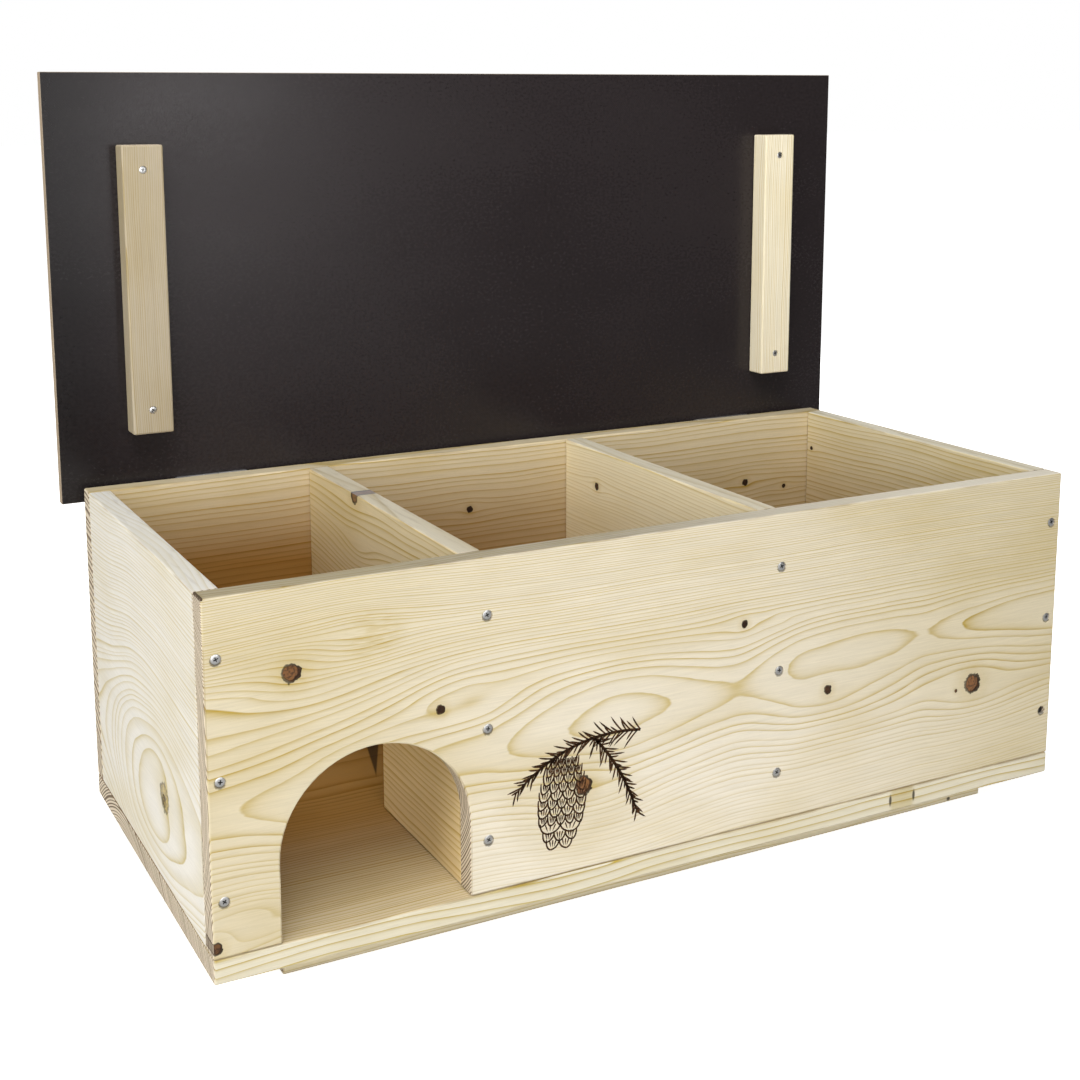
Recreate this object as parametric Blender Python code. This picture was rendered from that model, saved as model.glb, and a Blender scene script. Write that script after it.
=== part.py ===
"""A hedgehog house of spruce boards with three chambers and a hinged lid of film-faced plywood.

The house is modelled with its lid open, as it stands for cleaning. X runs along the front, Y runs
from the front to the back and Z is up. The origin is on the ground, under the middle of the whole.
All lengths are in metres.
"""

import math
from collections import namedtuple

import bmesh
import bpy
from mathutils import Matrix, Vector

# Driving dimensions of the boards
BODY_WIDTH = 0.750
BODY_DEPTH = 0.338
PANEL_HEIGHT = 0.250
BOARD = 0.018
FLOOR_BOARD = 0.018
ARRIS = 0.0014
GAP = 0.0003
OVERRUN = 0.010

# Entrance and passages
ENTRANCE_WIDTH = 0.142
ENTRANCE_SPRING = 0.0575
ENTRANCE_LEFT_MARGIN = 0.0485
PASSAGE_WIDTH = 0.142
PASSAGE_SPRING = 0.0575
PASSAGE_MARGIN = 0.015

# Chambers, measured between the boards that bound them
LEFT_CHAMBER = 0.173
MIDDLE_CHAMBER = 0.239

# Runners under the floor
RUNNER_LENGTH = 0.640
RUNNER_WIDTH = 0.035
RUNNER_HEIGHT = 0.018
RUNNER_SETBACK = 0.022

# Lid and its battens
LID_THICKNESS = 0.009
LID_SIDE_OVERHANG = 0.017
LID_FRONT_OVERHANG = 0.001
LID_REAR_OVERHANG = 0.014
LID_EDGE = 0.0004
BATTEN_LENGTH = 0.238
BATTEN_WIDTH = 0.034
BATTEN_HEIGHT = 0.0205
BATTEN_FROM_LID_END = 0.0575
BATTEN_FROM_REAR = 0.043

# Butt hinges with thick leaves, which meet flat when the lid stands upright and so stop it there
HINGE_LENGTH = 0.060
HINGE_FROM_SIDE = 0.110
HINGE_LEAF = 0.0102
KNUCKLE_RADIUS = 0.003
KNUCKLE_COUNT = 5
PIN_RADIUS = 0.0014
PIN_CLEARANCE = 0.0001
PIN_HEAD = 0.001

# Screw rows and columns
SCREW_ROWS = 3
LOWEST_ROW = 0.040
ROW_PITCH = 0.084
LEFT_DIVIDER_SCREW_SHIFT = 0.005
RIGHT_DIVIDER_SCREW_SHIFT = 0.002
SCREW_SINK = 0.0003
DEEP_SCREW_SINK = 0.0025
RUNNER_SCREW_INSET = 0.060
BATTEN_SCREW_INSET = 0.020
HINGE_SCREW_INSET = 0.012

Screw = namedtuple("Screw", "head_radius rim head_height shank_radius length tip recess recess_depth")
LONG_SCREW = Screw(
    head_radius=0.0035,
    rim=0.0003,
    head_height=0.0022,
    shank_radius=0.00175,
    length=0.040,
    tip=0.005,
    recess=0.0020,
    recess_depth=0.0012,
)
RUNNER_SCREW = LONG_SCREW._replace(length=0.034)
BATTEN_SCREW = Screw(
    head_radius=0.0030,
    rim=0.0003,
    head_height=0.0019,
    shank_radius=0.0015,
    length=0.0255,
    tip=0.003,
    recess=0.0017,
    recess_depth=0.0010,
)
HINGE_SCREW = Screw(
    head_radius=0.0025,
    rim=0.0002,
    head_height=0.0014,
    shank_radius=0.0012,
    length=0.0090,
    tip=0.002,
    recess=0.0014,
    recess_depth=0.0008,
)

# Fineness of the round shapes
SCREW_SIDES = 10
ARCH_SEGMENTS = 30
ROUND_SIDES = 16
ARRIS_SEGMENTS = 2
ARRIS_ANGLE = math.radians(40)
SHARP_ANGLE = math.radians(35)
MERGE = 0.00001

# Proportions
recess_width_share = 0.22
floor_screw_shares = (-0.20, 0.08, 0.40)

# Colours of the boards, each of which is a little different
board_tones = {
    "front_panel": (0.70, 0.59, 0.40),
    "back_panel": (0.66, 0.54, 0.35),
    "left_side": (0.66, 0.57, 0.42),
    "right_side": (0.66, 0.55, 0.37),
    "divider_left": (0.66, 0.57, 0.42),
    "divider_right": (0.64, 0.54, 0.38),
    "floor_board": (0.73, 0.63, 0.45),
    "front_runner": (0.68, 0.56, 0.37),
    "rear_runner": (0.68, 0.56, 0.37),
    "lid_batten_left": (0.50, 0.41, 0.29),
    "lid_batten_right": (0.74, 0.65, 0.51),
}
FILM_TONE = (0.032, 0.027, 0.028)
ZINC_TONE = (0.60, 0.60, 0.58)
WOOD_ROUGHNESS = 0.62
FILM_ROUGHNESS = 0.34
ZINC_ROUGHNESS = 0.36

# Places that follow from the sizes above
INNER_DEPTH = BODY_DEPTH - 2 * BOARD
HINGE_PLATE = KNUCKLE_RADIUS - GAP / 2
PIVOT_BACK = KNUCKLE_RADIUS + GAP
LID_FROM_PIVOT = KNUCKLE_RADIUS + GAP
LID_DEPTH = LID_FRONT_OVERHANG + BODY_DEPTH + LID_REAR_OVERHANG
TOTAL_DEPTH = BODY_DEPTH + PIVOT_BACK + LID_FROM_PIVOT + LID_THICKNESS

LEFT_X = -BODY_WIDTH / 2
RIGHT_X = BODY_WIDTH / 2
FRONT_Y = -TOTAL_DEPTH / 2
BACK_Y = FRONT_Y + BODY_DEPTH
FLOOR_BOTTOM = RUNNER_HEIGHT + GAP
FLOOR_TOP = FLOOR_BOTTOM + FLOOR_BOARD
WALL_BOTTOM = FLOOR_TOP + GAP
WALL_TOP = WALL_BOTTOM + PANEL_HEIGHT
INNER_FRONT = FRONT_Y + BOARD
INNER_BACK = BACK_Y - BOARD
DIVIDER_LEFT_X = LEFT_X + BOARD + LEFT_CHAMBER
DIVIDER_RIGHT_X = DIVIDER_LEFT_X + BOARD + MIDDLE_CHAMBER
ENTRANCE_X = LEFT_X + ENTRANCE_LEFT_MARGIN + ENTRANCE_WIDTH / 2
PIVOT_Y = BACK_Y + PIVOT_BACK
PIVOT_Z = WALL_TOP + GAP - LID_FROM_PIVOT
LID_FACE_Y = PIVOT_Y + LID_FROM_PIVOT
LID_BOTTOM = PIVOT_Z - (LID_REAR_OVERHANG - PIVOT_BACK)
LID_TOP = LID_BOTTOM + LID_DEPTH
LID_LEFT = LEFT_X - LID_SIDE_OVERHANG
LID_RIGHT = RIGHT_X + LID_SIDE_OVERHANG

FORWARD = Vector((0, -1, 0))
REARWARD = Vector((0, 1, 0))
UPWARD = Vector((0, 0, 1))


def clear_scene():
    for item in list(bpy.data.objects):
        bpy.data.objects.remove(item, do_unlink=True)


def make_material(name, colour, roughness, metallic):
    material = bpy.data.materials.new(name)
    material.use_nodes = True
    shader = material.node_tree.nodes["Principled BSDF"]
    shader.inputs["Base Color"].default_value = (*colour, 1)
    shader.inputs["Roughness"].default_value = roughness
    shader.inputs["Metallic"].default_value = metallic
    return material


def add_object(name, shape, material=None):
    """Turns a bmesh into a named object of the scene."""
    bmesh.ops.recalc_face_normals(shape, faces=shape.faces)
    mesh = bpy.data.meshes.new(name)
    shape.to_mesh(mesh)
    shape.free()
    item = bpy.data.objects.new(name, mesh)
    bpy.context.collection.objects.link(item)
    if material:
        mesh.materials.append(material)
    return item


def box_shape(low, high):
    shape = bmesh.new()
    size = Vector(high) - Vector(low)
    middle = (Vector(high) + Vector(low)) / 2
    place = Matrix.Translation(middle) @ Matrix.Diagonal((*size, 1))
    bmesh.ops.create_cube(shape, size=1, matrix=place)
    return shape


def prism_shape(outline, axis_start, axis_end, to_world):
    """Extrudes a closed outline of (a, b) points from axis_start to axis_end."""
    shape = bmesh.new()
    corners = [shape.verts.new(to_world(a, b, axis_start)) for a, b in outline]
    face = shape.faces.new(corners)
    moved = bmesh.ops.extrude_face_region(shape, geom=[face])
    shift = to_world(0, 0, axis_end) - to_world(0, 0, axis_start)
    tops = [part for part in moved["geom"] if isinstance(part, bmesh.types.BMVert)]
    bmesh.ops.translate(shape, verts=tops, vec=shift)
    return shape


def arch_outline(centre, width, bottom, spring):
    """A doorway outline: two upright sides from the bottom and a half circle on top."""
    radius = width / 2
    points = [(centre - radius, bottom), (centre + radius, bottom)]
    for step in range(ARCH_SEGMENTS + 1):
        angle = math.pi * step / ARCH_SEGMENTS
        points.append((centre + radius * math.cos(angle), spring + radius * math.sin(angle)))
    return points


def turned_shape(profile, sides):
    """Spins a profile of (radius, depth) points round -Z, closed where it meets the axis."""
    shape = bmesh.new()
    points = [shape.verts.new((radius, 0, -depth)) for radius, depth in profile]
    edges = [shape.edges.new(pair) for pair in zip(points, points[1:])]
    bmesh.ops.spin(
        shape,
        geom=points + edges,
        cent=(0, 0, 0),
        axis=(0, 0, 1),
        angle=math.tau,
        steps=sides,
        use_merge=True,
    )
    bmesh.ops.remove_doubles(shape, verts=shape.verts, dist=MERGE)
    return shape


def add_boolean(item, cutter, operation="DIFFERENCE"):
    """Adds a Boolean whose cutter follows the item when that is moved."""
    cutter.hide_render = True
    cutter.display_type = "WIRE"
    cutter.parent = item
    change = item.modifiers.new(cutter.name, "BOOLEAN")
    change.operation = operation
    change.solver = "EXACT"
    change.object = cutter
    return change


def add_arris(item, width=ARRIS, segments=ARRIS_SEGMENTS):
    change = item.modifiers.new("arris", "BEVEL")
    change.width = width
    change.segments = segments
    change.limit_method = "ANGLE"
    change.angle_limit = ARRIS_ANGLE
    return change


def taken_mesh(item):
    """The object's mesh with its modifiers applied. The object and its cutters are removed."""
    graph = bpy.context.evaluated_depsgraph_get()
    mesh = bpy.data.meshes.new_from_object(item.evaluated_get(graph))
    for spent in [*item.children, item]:
        bpy.data.objects.remove(spent, do_unlink=True)
    return mesh


# Screws and the holes that hold them


def screw_mesh(name, screw, material):
    """A countersunk screw along -Z with its head's face at the origin and a cross recess."""
    profile = [
        (0, 0),
        (screw.head_radius, 0),
        (screw.head_radius, screw.rim),
        (screw.shank_radius, screw.head_height),
        (screw.shank_radius, screw.length - screw.tip),
        (0, screw.length),
    ]
    body = add_object(name, turned_shape(profile, SCREW_SIDES), material)
    half_slot = screw.recess * recess_width_share
    slots = ((screw.recess, half_slot), (half_slot, screw.recess))
    for index, (along_x, along_y) in enumerate(slots):
        low = (-along_x, -along_y, -screw.recess_depth)
        high = (along_x, along_y, OVERRUN)
        add_boolean(body, add_object(f"{name}_slot_{index}", box_shape(low, high)))
    mesh = taken_mesh(body)
    mesh.shade_smooth()
    mesh.set_sharp_from_angle(angle=SHARP_ANGLE)
    return mesh


def hole_profile(screw):
    """The screw's outline with a running gap, carried out past the face that it enters."""
    return [
        (0, -OVERRUN),
        (screw.head_radius + GAP, -OVERRUN),
        (screw.head_radius + GAP, screw.rim + GAP),
        (screw.shank_radius + GAP, screw.head_height + GAP),
        (screw.shank_radius + GAP, screw.length - screw.tip + GAP),
        (0, screw.length + GAP),
    ]


def screw_frame(place, inward):
    """The matrix that lays -Z along the driving direction, at the face of the head."""
    turn = (-UPWARD).rotation_difference(inward).to_matrix().to_4x4()
    return Matrix.Translation(place) @ turn


def add_screws(prefix, mesh, frames):
    items = []
    for number, frame in enumerate(frames, start=1):
        item = bpy.data.objects.new(f"{prefix}_{number:02d}", mesh)
        item.matrix_world = frame
        bpy.context.collection.objects.link(item)
        items.append(item)
    return items


def drill(board, screw, frames, label):
    """Cuts one hole for each screw through every board that the screw passes."""
    holes = bmesh.new()
    for frame in frames:
        one = turned_shape(hole_profile(screw), SCREW_SIDES)
        bmesh.ops.transform(one, matrix=frame, verts=one.verts)
        copy = bpy.data.meshes.new(label)
        one.to_mesh(copy)
        one.free()
        holes.from_mesh(copy)
    add_boolean(board, add_object(f"{board.name}_{label}", holes))


# Boards


def add_board(name, low, high):
    wood = make_material(f"{name}_spruce", board_tones[name], WOOD_ROUGHNESS, 0)
    return add_object(name, box_shape(low, high), wood)


def add_doorway(board, outline, start, end, to_world):
    cutter = add_object(f"{board.name}_doorway", prism_shape(outline, start, end, to_world))
    add_boolean(board, cutter)


def make_walls():
    front = add_board(
        "front_panel", (LEFT_X, FRONT_Y, WALL_BOTTOM), (RIGHT_X, INNER_FRONT, WALL_TOP)
    )
    entrance = arch_outline(
        ENTRANCE_X, ENTRANCE_WIDTH, WALL_BOTTOM - OVERRUN, FLOOR_TOP + ENTRANCE_SPRING
    )
    add_doorway(
        front,
        entrance,
        FRONT_Y - OVERRUN,
        INNER_FRONT + OVERRUN,
        lambda a, b, c: Vector((a, c, b)),
    )
    back = add_board(
        "back_panel", (LEFT_X, INNER_BACK, WALL_BOTTOM), (RIGHT_X, BACK_Y, WALL_TOP)
    )
    side_front = INNER_FRONT + GAP
    side_back = INNER_BACK - GAP
    left = add_board(
        "left_side",
        (LEFT_X, side_front, WALL_BOTTOM),
        (LEFT_X + BOARD, side_back, WALL_TOP),
    )
    right = add_board(
        "right_side",
        (RIGHT_X - BOARD, side_front, WALL_BOTTOM),
        (RIGHT_X, side_back, WALL_TOP),
    )
    return front, back, left, right


def make_divider(name, left_x, passage_y):
    divider = add_board(
        name,
        (left_x, INNER_FRONT + GAP, WALL_BOTTOM),
        (left_x + BOARD, INNER_BACK - GAP, WALL_TOP),
    )
    passage = arch_outline(
        passage_y, PASSAGE_WIDTH, WALL_BOTTOM - OVERRUN, FLOOR_TOP + PASSAGE_SPRING
    )
    add_doorway(
        divider,
        passage,
        left_x - OVERRUN,
        left_x + BOARD + OVERRUN,
        lambda a, b, c: Vector((c, a, b)),
    )
    return divider


def make_base():
    floor = add_board(
        "floor_board", (LEFT_X, FRONT_Y, FLOOR_BOTTOM), (RIGHT_X, BACK_Y, FLOOR_TOP)
    )
    runners = []
    for name, low_y in (
        ("front_runner", FRONT_Y + RUNNER_SETBACK),
        ("rear_runner", BACK_Y - RUNNER_SETBACK - RUNNER_WIDTH),
    ):
        runners.append(
            add_board(
                name,
                (-RUNNER_LENGTH / 2, low_y, 0),
                (RUNNER_LENGTH / 2, low_y + RUNNER_WIDTH, RUNNER_HEIGHT),
            )
        )
    return floor, runners


def batten_left_edge(side):
    if side == "left":
        return LID_LEFT + BATTEN_FROM_LID_END
    return LID_RIGHT - BATTEN_FROM_LID_END - BATTEN_WIDTH


def make_lid():
    plywood = make_material("film_faced_plywood", FILM_TONE, FILM_ROUGHNESS, 0)
    slab = box_shape(
        (LID_LEFT, LID_FACE_Y, LID_BOTTOM), (LID_RIGHT, LID_FACE_Y + LID_THICKNESS, LID_TOP)
    )
    lid = add_object("lid_board", slab, plywood)
    batten_back = LID_FACE_Y - GAP
    low_z = WALL_TOP + BATTEN_FROM_REAR
    battens = []
    for side in ("left", "right"):
        low_x = batten_left_edge(side)
        battens.append(
            add_board(
                f"lid_batten_{side}",
                (low_x, batten_back - BATTEN_HEIGHT, low_z),
                (low_x + BATTEN_WIDTH, batten_back, low_z + BATTEN_LENGTH),
            )
        )
    return lid, battens


# Hinges


def hinge_segments(length, own):
    """The stretches of a hinge's length, from its middle, whose knuckles belong to one leaf."""
    pitch = length / KNUCKLE_COUNT
    for index in range(KNUCKLE_COUNT):
        if index % 2 == own:
            start = -length / 2 + index * pitch
            yield start + GAP / 2, start + pitch - GAP / 2


def knuckle_outline():
    """Across one rolled knuckle, pin at the origin: the plate runs off along +a at height b."""
    inner = KNUCKLE_RADIUS - HINGE_PLATE
    meet = math.asin(inner / KNUCKLE_RADIUS)
    sweep = math.pi * 3 / 2 + meet
    points = [(HINGE_LEAF, KNUCKLE_RADIUS)]
    for step in range(ROUND_SIDES + 1):
        angle = math.pi / 2 + sweep * step / ROUND_SIDES
        points.append((KNUCKLE_RADIUS * math.cos(angle), KNUCKLE_RADIUS * math.sin(angle)))
    points.append((HINGE_LEAF, inner))
    return points


def leaf_shape(item_name, centre_x, own, to_world, material):
    """A leaf: a notched plate that is rolled into knuckles round the pin."""
    clear = KNUCKLE_RADIUS + 2 * GAP
    inner = KNUCKLE_RADIUS - HINGE_PLATE
    plate = [
        (clear, KNUCKLE_RADIUS),
        (clear, inner),
        (HINGE_LEAF, inner),
        (HINGE_LEAF, KNUCKLE_RADIUS),
    ]
    half = HINGE_LENGTH / 2
    shape = prism_shape(plate, centre_x - half, centre_x + half, to_world)
    leaf = add_object(item_name, shape, material)
    for index, (start, end) in enumerate(hinge_segments(HINGE_LENGTH, own)):
        roll = prism_shape(knuckle_outline(), centre_x + start, centre_x + end, to_world)
        add_boolean(leaf, add_object(f"{item_name}_roll_{index}", roll), "UNION")
    bore_radius = PIN_RADIUS + PIN_CLEARANCE
    bore = [
        (bore_radius * math.cos(turn), bore_radius * math.sin(turn))
        for turn in (math.tau * step / ROUND_SIDES for step in range(ROUND_SIDES))
    ]
    through = prism_shape(
        bore, centre_x - half - OVERRUN, centre_x + half + OVERRUN, to_world
    )
    add_boolean(leaf, add_object(f"{item_name}_bore", through))
    return leaf


def make_pin(name, centre_x, material):
    """A plain pin with a small button at each end of the knuckles."""
    half = HINGE_LENGTH / 2
    button = KNUCKLE_RADIUS - GAP
    profile = [
        (0, -half - GAP - PIN_HEAD),
        (button, -half - GAP - PIN_HEAD),
        (button, -half - GAP),
        (PIN_RADIUS, -half - GAP),
        (PIN_RADIUS, half + GAP),
        (button, half + GAP),
        (button, half + GAP + PIN_HEAD),
        (0, half + GAP + PIN_HEAD),
    ]
    pin = add_object(name, turned_shape(profile, ROUND_SIDES), material)
    along_x = Matrix.Rotation(math.pi / 2, 4, "Y")
    pin.matrix_world = Matrix.Translation((centre_x, PIVOT_Y, PIVOT_Z)) @ along_x
    smooth(pin)
    return pin


def make_hinge(side, centre_x, steel):
    """Body leaf on the back panel's rear face, lid leaf on the lid's underside."""

    def on_body(a, b, c):
        return Vector((c, PIVOT_Y - b, PIVOT_Z - a))

    def on_lid(a, b, c):
        return Vector((c, PIVOT_Y + b, PIVOT_Z - a))

    body_leaf = leaf_shape(f"{side}_hinge_body_leaf", centre_x, 0, on_body, steel)
    lid_leaf = leaf_shape(f"{side}_hinge_lid_leaf", centre_x, 1, on_lid, steel)
    make_pin(f"{side}_hinge_pin", centre_x, steel)
    return body_leaf, lid_leaf


def smooth(item):
    item.data.shade_smooth()
    item.data.set_sharp_from_angle(angle=SHARP_ANGLE)


# Where the screws go


def columns():
    """Screw columns: the middles of the side boards, and each divider's, a little off centre."""
    middle = BOARD / 2
    return [
        LEFT_X + middle,
        DIVIDER_LEFT_X + middle + LEFT_DIVIDER_SCREW_SHIFT,
        DIVIDER_RIGHT_X + middle + RIGHT_DIVIDER_SCREW_SHIFT,
        RIGHT_X - middle,
    ]


def row_height(row):
    return WALL_BOTTOM + LOWEST_ROW + row * ROW_PITCH


def front_frames(column):
    """The three front screws of one column. The last column's lowest one is driven in deeper."""
    found = []
    for row in range(SCREW_ROWS):
        deep = column == len(columns()) - 1 and row == 0
        sink = DEEP_SCREW_SINK if deep else SCREW_SINK
        place = Vector((columns()[column], FRONT_Y + sink, row_height(row)))
        found.append(screw_frame(place, REARWARD))
    return found


def back_frames(column):
    """The two back screws of one column, in the top and the bottom row."""
    return [
        screw_frame(Vector((columns()[column], BACK_Y - SCREW_SINK, row_height(row))), FORWARD)
        for row in (0, SCREW_ROWS - 1)
    ]


def floor_frames(panel_middle):
    """Three screws from below, through the floor into the bottom edge of one long panel."""
    return [
        screw_frame(Vector((share * BODY_WIDTH, panel_middle, FLOOR_BOTTOM + SCREW_SINK)), UPWARD)
        for share in floor_screw_shares
    ]


def runner_frames(runner_middle):
    reach = RUNNER_LENGTH / 2 - RUNNER_SCREW_INSET
    return [
        screw_frame(Vector((x, runner_middle, SCREW_SINK)), UPWARD) for x in (-reach, reach)
    ]


def batten_frames(side):
    x = batten_left_edge(side) + BATTEN_WIDTH / 2
    face = LID_FACE_Y - GAP - BATTEN_HEIGHT + SCREW_SINK
    low = WALL_TOP + BATTEN_FROM_REAR + BATTEN_SCREW_INSET
    high = WALL_TOP + BATTEN_FROM_REAR + BATTEN_LENGTH - BATTEN_SCREW_INSET
    return [screw_frame(Vector((x, face, z)), REARWARD) for z in (low, high)]


def hinge_frames(centre_x, plate_face_y, inward):
    """Two screws through one leaf, in the middle of its plate."""
    z = PIVOT_Z - (KNUCKLE_RADIUS + HINGE_LEAF) / 2
    reach = HINGE_LENGTH / 2 - HINGE_SCREW_INSET
    return [
        screw_frame(Vector((centre_x + shift, plate_face_y, z)), inward)
        for shift in (-reach, reach)
    ]


def hang_on_axis(items):
    """Parents the lid's pieces to an empty on the hinge axis. A turn about +X closes the lid."""
    axis = bpy.data.objects.new("lid_hinge_axis", None)
    place = Matrix.Translation((0, PIVOT_Y, PIVOT_Z))
    axis.matrix_world = place
    bpy.context.collection.objects.link(axis)
    for item in items:
        item.parent = axis
        item.matrix_parent_inverse = place.inverted()


def make_house():
    zinc = make_material("zinc_plated_steel", ZINC_TONE, ZINC_ROUGHNESS, 1)
    front, back, left, right = make_walls()
    rear_passage = INNER_BACK - PASSAGE_MARGIN - PASSAGE_WIDTH / 2
    front_passage = INNER_FRONT + PASSAGE_MARGIN + PASSAGE_WIDTH / 2
    divider_left = make_divider("divider_left", DIVIDER_LEFT_X, rear_passage)
    divider_right = make_divider("divider_right", DIVIDER_RIGHT_X, front_passage)
    floor, runners = make_base()
    lid, battens = make_lid()
    boards = [front, back, left, right, divider_left, divider_right, floor, *runners, *battens]
    for board in boards:
        add_arris(board)
    add_arris(lid, LID_EDGE, 1)

    hinge_reach = BODY_WIDTH / 2 - HINGE_FROM_SIDE
    hinges = {"left": -hinge_reach, "right": hinge_reach}
    leaves = {side: make_hinge(side, x, zinc) for side, x in hinges.items()}

    long_mesh = screw_mesh("long_screw", LONG_SCREW, zinc)
    runner_mesh = screw_mesh("runner_screw_pattern", RUNNER_SCREW, zinc)
    batten_mesh = screw_mesh("batten_screw_pattern", BATTEN_SCREW, zinc)
    hinge_mesh = screw_mesh("hinge_screw_pattern", HINGE_SCREW, zinc)

    held = [left, divider_left, divider_right, right]
    fronts = [front_frames(column) for column in range(len(held))]
    backs = [back_frames(column) for column in range(len(held))]
    for board, from_front, from_back in zip(held, fronts, backs):
        drill(board, LONG_SCREW, from_front + from_back, "screw_holes")
    all_fronts = sum(fronts, [])
    all_backs = sum(backs, [])
    add_screws("front_screw", long_mesh, all_fronts)
    add_screws("back_screw", long_mesh, all_backs)

    under_front = floor_frames(FRONT_Y + BOARD / 2)
    under_back = floor_frames(BACK_Y - BOARD / 2)
    add_screws("floor_screw", long_mesh, under_front + under_back)
    drill(front, LONG_SCREW, all_fronts + under_front, "screw_holes")
    drill(back, LONG_SCREW, all_backs + under_back, "screw_holes")
    drill(floor, LONG_SCREW, under_front + under_back, "screw_holes")

    front_runner_middle = FRONT_Y + RUNNER_SETBACK + RUNNER_WIDTH / 2
    rear_runner_middle = BACK_Y - RUNNER_SETBACK - RUNNER_WIDTH / 2
    under_runners = [runner_frames(front_runner_middle), runner_frames(rear_runner_middle)]
    for runner, frames in zip(runners, under_runners):
        drill(runner, RUNNER_SCREW, frames, "screw_holes")
    drill(floor, RUNNER_SCREW, sum(under_runners, []), "runner_screw_holes")
    add_screws("runner_screw", runner_mesh, sum(under_runners, []))

    in_battens = [batten_frames(side) for side in ("left", "right")]
    for batten, frames in zip(battens, in_battens):
        drill(batten, BATTEN_SCREW, frames, "screw_holes")
    drill(lid, BATTEN_SCREW, sum(in_battens, []), "batten_screw_holes")
    batten_screws = add_screws("batten_screw", batten_mesh, sum(in_battens, []))

    body_plate = PIVOT_Y - KNUCKLE_RADIUS + HINGE_PLATE
    lid_plate = PIVOT_Y + KNUCKLE_RADIUS - HINGE_PLATE
    in_body, in_lid = [], []
    for side, x in hinges.items():
        body_leaf, lid_leaf = leaves[side]
        to_body = hinge_frames(x, body_plate, FORWARD)
        to_lid = hinge_frames(x, lid_plate, REARWARD)
        drill(body_leaf, HINGE_SCREW, to_body, "screw_holes")
        drill(lid_leaf, HINGE_SCREW, to_lid, "screw_holes")
        smooth(body_leaf)
        smooth(lid_leaf)
        in_body += to_body
        in_lid += to_lid
    drill(back, HINGE_SCREW, in_body, "hinge_screw_holes")
    drill(lid, HINGE_SCREW, in_lid, "hinge_screw_holes")
    add_screws("hinge_body_screw", hinge_mesh, in_body)
    lid_screws = add_screws("hinge_lid_screw", hinge_mesh, in_lid)
    lid_leaves = [lid_leaf for body_leaf, lid_leaf in leaves.values()]
    hang_on_axis([lid, *battens, *batten_screws, *lid_leaves, *lid_screws])


clear_scene()
make_house()
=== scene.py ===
"""Dresses the hedgehog house: planed spruce boards with growth rings and knots, a lid of film-faced
plywood, zinc-plated screws and hinges, a burned-in fir sprig on the front, and a pale studio."""

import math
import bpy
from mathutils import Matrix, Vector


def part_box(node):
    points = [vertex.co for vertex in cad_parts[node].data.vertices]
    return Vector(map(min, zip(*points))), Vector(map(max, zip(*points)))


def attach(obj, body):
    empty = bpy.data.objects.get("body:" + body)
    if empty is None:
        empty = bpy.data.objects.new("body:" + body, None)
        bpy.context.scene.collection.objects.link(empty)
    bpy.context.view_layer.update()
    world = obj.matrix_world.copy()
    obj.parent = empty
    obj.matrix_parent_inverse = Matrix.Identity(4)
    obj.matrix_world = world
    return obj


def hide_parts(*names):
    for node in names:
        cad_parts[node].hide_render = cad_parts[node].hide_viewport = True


bl_info = {
    "name": "Hedgehog house",
    "version": (1, 0, 0),
    "blender": (4, 5, 0),
    "location": "3D View > Sidebar > House",
    "description": "Dresses a spruce hedgehog house with a hinged lid and sets up its studio",
    "category": "Object",
}

from collections import namedtuple

import bmesh
import bpy
from bpy.props import FloatProperty, FloatVectorProperty, PointerProperty
from mathutils import Matrix, Vector

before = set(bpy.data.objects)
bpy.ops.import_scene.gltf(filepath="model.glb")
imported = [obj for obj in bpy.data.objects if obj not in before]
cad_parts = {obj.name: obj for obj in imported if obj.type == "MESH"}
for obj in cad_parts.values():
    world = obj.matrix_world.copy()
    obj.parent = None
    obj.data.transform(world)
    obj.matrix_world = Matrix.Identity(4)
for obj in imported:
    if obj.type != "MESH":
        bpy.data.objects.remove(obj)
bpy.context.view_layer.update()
FRONT_LOW, FRONT_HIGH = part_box("front_panel")
LID_LOW, LID_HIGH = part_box("lid_board")
FLOOR_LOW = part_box("floor_board")[0]
MM = 1000

FLOAT = "NodeSocketFloat"
VECTOR = "NodeSocketVector"
COLOR = "NodeSocketColor"
WHITE = (1.0, 1.0, 1.0, 1.0)


# Node helpers


class Signal:
    """A node's output. Sums, differences, products and shares written with it become maths nodes."""

    def __init__(self, socket):
        self.socket = socket

    def __add__(self, other):
        return calc("ADD", self, other)

    def __sub__(self, other):
        return calc("SUBTRACT", self, other)

    def __rsub__(self, other):
        return calc("SUBTRACT", other, self)

    def __mul__(self, other):
        return calc("MULTIPLY", self, other)

    def __truediv__(self, other):
        return calc("DIVIDE", self, other)

    def __abs__(self):
        return calc("ABSOLUTE", self)

    __radd__ = __add__
    __rmul__ = __mul__


def tree_of(*values):
    """The node tree that the first signal among the values belongs to."""
    return next(value.socket.id_data for value in values if isinstance(value, Signal))


def feed(node, inputs):
    """Links signals to a node's inputs, and sets the inputs that get plain values."""
    for key, value in inputs.items():
        if isinstance(value, Signal):
            node.id_data.links.new(value.socket, node.inputs[key])
        else:
            node.inputs[key].default_value = value


def add_node(tree, kind, inputs=None, **settings):
    node = tree.nodes.new(kind)
    for key, value in settings.items():
        setattr(node, key, value)
    feed(node, inputs or {})
    return node


def signals(node):
    """A node's outputs by name."""
    return {socket.name: Signal(socket) for socket in node.outputs}


def made(tree, kind, inputs, out=0, **settings):
    """Adds a node and returns one of its outputs."""
    return Signal(add_node(tree, kind, inputs, **settings).outputs[out])


def calc(operation, *values, clamp=False):
    settings = dict(operation=operation, use_clamp=clamp)
    return made(tree_of(*values), "ShaderNodeMath", dict(enumerate(values)), **settings)


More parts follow.
